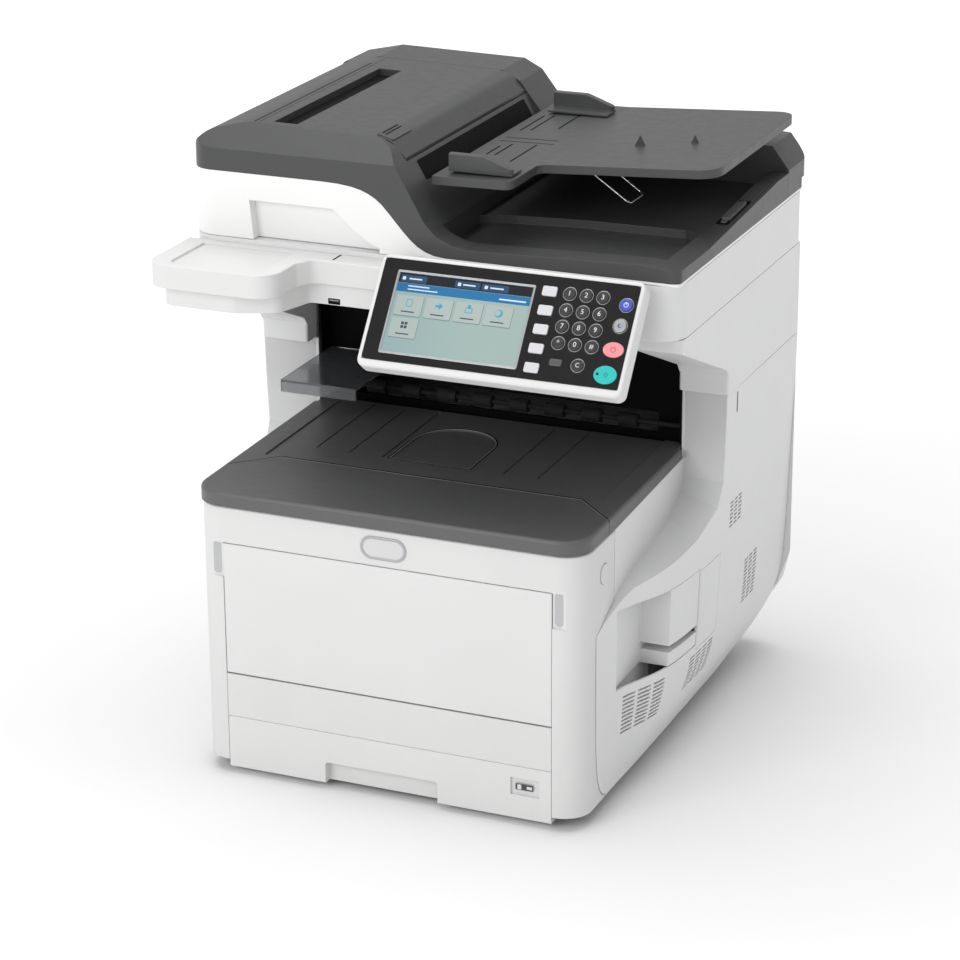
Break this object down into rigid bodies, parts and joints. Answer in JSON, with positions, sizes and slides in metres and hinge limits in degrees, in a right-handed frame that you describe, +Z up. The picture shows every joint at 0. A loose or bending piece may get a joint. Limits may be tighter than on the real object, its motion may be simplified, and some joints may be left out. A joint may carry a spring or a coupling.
{
  "type": "photocopier",
  "caption": "Desktop colour copier: print engine with cassette and output tray, scanner with sheet feeder, and a tilting touch panel with keys",
  "frame": {"origin": "on the floor under the middle of the machine's outer box", "axes": "+Z up, -Y out of the front with the paper cassette and panel, +X to the right seen from the front"},
  "size_m": [0.563, 0.6, 0.7],
  "materials": {
    "frame_steel": "zinc-plated sheet, satin",
    "foot_rubber": "moulded, matt",
    "white_plastic": "fine-textured moulding",
    "white_door": "smooth satin moulding",
    "side_plastic": "fine spark-eroded texture",
    "inner_grey": "moulded, matt",
    "dark_cover": "fine-grained, satin",
    "dark_lid": "fine-grained, satin",
    "dark_tray": "fine-grained, satin",
    "black_lining": "matt",
    "roller_rubber": "ground rubber on a steel shaft",
    "smoked_clear": "smoked clear moulding",
    "toner_case": "satin",
    "belt_film": "polished film",
    "switch_black": "satin",
    "platen_glass": "clear float glass",
    "cushion_white": "soft white sheet",
    "hinge_steel": "pressed steel",
    "wire_steel": "drawn wire",
    "panel_black": "piano black",
    "screen_glass": "lit colour touch screen",
    "key_caps": "satin key cap",
    "key_stop": "translucent red key cap",
    "key_start": "translucent green key cap",
    "key_login": "blue key cap",
    "key_silver": "silver key cap"
  },
  "bodies": {
    "root": {"chassis": "frame_steel", "feet": "foot_rubber", "front_cover": "white_plastic", "right_side_shell": "side_plastic", "left_side_shell": "side_plastic", "upper_side_panels": "side_plastic", "rear_cover": "side_plastic", "exit_unit": "black_lining", "scanner_base": "white_plastic", "platen_glass": "platen_glass", "left_shelf": "white_plastic", "lid_hinges": "hinge_steel", "imaging_units": "toner_case", "transfer_belt_unit": "belt_film", "fuser_unit": "inner_grey", "stapler_housing": "side_plastic"},
    "front_door": {"front_door": "white_door"},
    "release_button": {"release_button": "white_plastic"},
    "cassette": {"cassette_front": "white_door", "cassette_tray": "inner_grey"},
    "top_cover": {"top_cover": "dark_cover"},
    "paper_flap": {"paper_flap": "smoked_clear"},
    "exit_rollers": {"exit_rollers": "roller_rubber"},
    "scan_carriage": {"scan_carriage": "black_lining"},
    "power_switch": {"power_switch": "switch_black"},
    "stapler_hatch": {"stapler_hatch": "side_plastic"},
    "lid": {"lid_lower_shell": "white_plastic", "lid_top_cover": "dark_lid", "platen_cushion": "cushion_white"},
    "feeder_cover": {"feeder_cover": "dark_lid"},
    "feed_roller": {"feed_roller": "roller_rubber"},
    "document_tray": {"document_tray": "dark_tray"},
    "guide_front": {"document_guide_front": "dark_tray"},
    "guide_rear": {"document_guide_rear": "dark_tray"},
    "stopper_wire": {"stopper_wire": "wire_steel"},
    "panel": {"panel_housing": "white_plastic", "panel_face": "panel_black", "screen_glass": "screen_glass"},
    "copy_key": {"copy_key": "key_caps"},
    "scan_key": {"scan_key": "key_caps"},
    "print_key": {"print_key": "key_caps"},
    "fax_key": {"fax_key": "key_caps"},
    "reset_key": {"reset_key": "key_caps"},
    "clear_key": {"clear_key": "key_caps"},
    "login_key": {"login_key": "key_login"},
    "power_save_key": {"power_save_key": "key_silver"},
    "key_1": {"key_1": "key_caps"},
    "key_2": {"key_2": "key_caps"},
    "key_3": {"key_3": "key_caps"},
    "key_4": {"key_4": "key_caps"},
    "key_5": {"key_5": "key_caps"},
    "key_6": {"key_6": "key_caps"},
    "key_7": {"key_7": "key_caps"},
    "key_8": {"key_8": "key_caps"},
    "key_9": {"key_9": "key_caps"},
    "key_star": {"key_star": "key_caps"},
    "key_0": {"key_0": "key_caps"},
    "key_hash": {"key_hash": "key_caps"},
    "stop_key": {"stop_key": "key_stop"},
    "start_key": {"start_key": "key_start"}
  },
  "joints": [
    {"name": "cassette_slide", "type": "slide", "parent": "root", "child": "cassette", "axis": [0, -1, 0], "range_m": [0, 0.4]},
    {"name": "front_door_hinge", "type": "hinge", "parent": "root", "child": "front_door", "pos_m": [0, -0.294, 0.1226], "axis": [1, 0, 0], "range_deg": [0, 90]},
    {"name": "top_cover_hinge", "type": "hinge", "parent": "root", "child": "top_cover", "pos_m": [0, 0.02, 0.318], "axis": [-1, 0, 0], "range_deg": [0, 12]},
    {"name": "release_button_press", "type": "slide", "parent": "root", "child": "release_button", "axis": [-1, 0, 0], "range_m": [0, 0.004], "stiffness_N_per_m": 600},
    {"name": "paper_flap_hinge", "type": "hinge", "parent": "root", "child": "paper_flap", "pos_m": [-0.1705, 0.036, 0.3905], "axis": [-1, 0, 0], "range_deg": [0, 55]},
    {"name": "exit_rollers_spin", "type": "hinge", "parent": "root", "child": "exit_rollers", "pos_m": [0, 0.031, 0.352], "axis": [1, 0, 0], "continuous": true},
    {"name": "scan_carriage_slide", "type": "slide", "parent": "root", "child": "scan_carriage", "axis": [1, 0, 0], "range_m": [0, 0.36]},
    {"name": "power_switch_rock", "type": "hinge", "parent": "root", "child": "power_switch", "pos_m": [0.1775, 0.276, 0.106], "axis": [1, 0, 0], "range_deg": [0, 8]},
    {"name": "stapler_hatch_hinge", "type": "hinge", "parent": "root", "child": "stapler_hatch", "pos_m": [0.2757, -0.0032, 0.175], "axis": [0, 0, 1], "range_deg": [0, 85]},
    {"name": "lid_hinge", "type": "hinge", "parent": "root", "child": "lid", "pos_m": [0, 0.249, 0.582], "axis": [-1, 0, 0], "range_deg": [0, 65]},
    {"name": "feeder_cover_hinge", "type": "hinge", "parent": "lid", "child": "feeder_cover", "pos_m": [-0.2079, 0.021, 0.6997], "axis": [0, -1, 0], "range_deg": [0, 70]},
    {"name": "feed_roller_spin", "type": "hinge", "parent": "lid", "child": "feed_roller", "pos_m": [-0.1095, 0.021, 0.661], "axis": [0, 1, 0], "continuous": true},
    {"name": "document_tray_hinge", "type": "hinge", "parent": "lid", "child": "document_tray", "pos_m": [-0.0075, 0.021, 0.655], "axis": [0, -1, 0], "range_deg": [0, 35]},
    {"name": "guide_front_slide", "type": "slide", "parent": "document_tray", "child": "guide_front", "axis": [0, 1, 0], "range_m": [0, 0.09]},
    {"name": "guide_rear_slide", "type": "slide", "parent": "document_tray", "child": "guide_rear", "axis": [0, -1, 0], "range_m": [0, 0.09]},
    {"name": "stopper_wire_swing", "type": "hinge", "parent": "document_tray", "child": "stopper_wire", "pos_m": [0.1275, -0.015, 0.653], "axis": [0, 1, 0], "range_deg": [-25, 35]},
    {"name": "panel_tilt", "type": "hinge", "parent": "root", "child": "panel", "pos_m": [0.1105, -0.196, 0.568], "axis": [-1, 0, 0], "range_deg": [0, 35]},
    {"name": "copy_key_press", "type": "slide", "parent": "panel", "child": "copy_key", "axis": [0, 0.7986, -0.6018], "range_m": [0, 0.0012], "stiffness_N_per_m": 350},
    {"name": "scan_key_press", "type": "slide", "parent": "panel", "child": "scan_key", "axis": [0, 0.7986, -0.6018], "range_m": [0, 0.0012], "stiffness_N_per_m": 350},
    {"name": "print_key_press", "type": "slide", "parent": "panel", "child": "print_key", "axis": [0, 0.7986, -0.6018], "range_m": [0, 0.0012], "stiffness_N_per_m": 350},
    {"name": "fax_key_press", "type": "slide", "parent": "panel", "child": "fax_key", "axis": [0, 0.7986, -0.6018], "range_m": [0, 0.0012], "stiffness_N_per_m": 350},
    {"name": "reset_key_press", "type": "slide", "parent": "panel", "child": "reset_key", "axis": [0, 0.7986, -0.6018], "range_m": [0, 0.0012], "stiffness_N_per_m": 350},
    {"name": "clear_key_press", "type": "slide", "parent": "panel", "child": "clear_key", "axis": [0, 0.7986, -0.6018], "range_m": [0, 0.0012], "stiffness_N_per_m": 350},
    {"name": "login_key_press", "type": "slide", "parent": "panel", "child": "login_key", "axis": [0, 0.7986, -0.6018], "range_m": [0, 0.0012], "stiffness_N_per_m": 350},
    {"name": "power_save_key_press", "type": "slide", "parent": "panel", "child": "power_save_key", "axis": [0, 0.7986, -0.6018], "range_m": [0, 0.0012], "stiffness_N_per_m": 350},
    {"name": "key_1_press", "type": "slide", "parent": "panel", "child": "key_1", "axis": [0, 0.7986, -0.6018], "range_m": [0, 0.0012], "stiffness_N_per_m": 350},
    {"name": "key_2_press", "type": "slide", "parent": "panel", "child": "key_2", "axis": [0, 0.7986, -0.6018], "range_m": [0, 0.0012], "stiffness_N_per_m": 350},
    {"name": "key_3_press", "type": "slide", "parent": "panel", "child": "key_3", "axis": [0, 0.7986, -0.6018], "range_m": [0, 0.0012], "stiffness_N_per_m": 350},
    {"name": "key_4_press", "type": "slide", "parent": "panel", "child": "key_4", "axis": [0, 0.7986, -0.6018], "range_m": [0, 0.0012], "stiffness_N_per_m": 350},
    {"name": "key_5_press", "type": "slide", "parent": "panel", "child": "key_5", "axis": [0, 0.7986, -0.6018], "range_m": [0, 0.0012], "stiffness_N_per_m": 350},
    {"name": "key_6_press", "type": "slide", "parent": "panel", "child": "key_6", "axis": [0, 0.7986, -0.6018], "range_m": [0, 0.0012], "stiffness_N_per_m": 350},
    {"name": "key_7_press", "type": "slide", "parent": "panel", "child": "key_7", "axis": [0, 0.7986, -0.6018], "range_m": [0, 0.0012], "stiffness_N_per_m": 350},
    {"name": "key_8_press", "type": "slide", "parent": "panel", "child": "key_8", "axis": [0, 0.7986, -0.6018], "range_m": [0, 0.0012], "stiffness_N_per_m": 350},
    {"name": "key_9_press", "type": "slide", "parent": "panel", "child": "key_9", "axis": [0, 0.7986, -0.6018], "range_m": [0, 0.0012], "stiffness_N_per_m": 350},
    {"name": "key_star_press", "type": "slide", "parent": "panel", "child": "key_star", "axis": [0, 0.7986, -0.6018], "range_m": [0, 0.0012], "stiffness_N_per_m": 350},
    {"name": "key_0_press", "type": "slide", "parent": "panel", "child": "key_0", "axis": [0, 0.7986, -0.6018], "range_m": [0, 0.0012], "stiffness_N_per_m": 350},
    {"name": "key_hash_press", "type": "slide", "parent": "panel", "child": "key_hash", "axis": [0, 0.7986, -0.6018], "range_m": [0, 0.0012], "stiffness_N_per_m": 350},
    {"name": "stop_key_press", "type": "slide", "parent": "panel", "child": "stop_key", "axis": [0, 0.7986, -0.6018], "range_m": [0, 0.0012], "stiffness_N_per_m": 350},
    {"name": "start_key_press", "type": "slide", "parent": "panel", "child": "start_key", "axis": [0, 0.7986, -0.6018], "range_m": [0, 0.0012], "stiffness_N_per_m": 350}
  ],
  "couplings": [
    {"joint": "guide_rear_slide", "follows": "guide_front_slide", "ratio": 1}
  ]
}
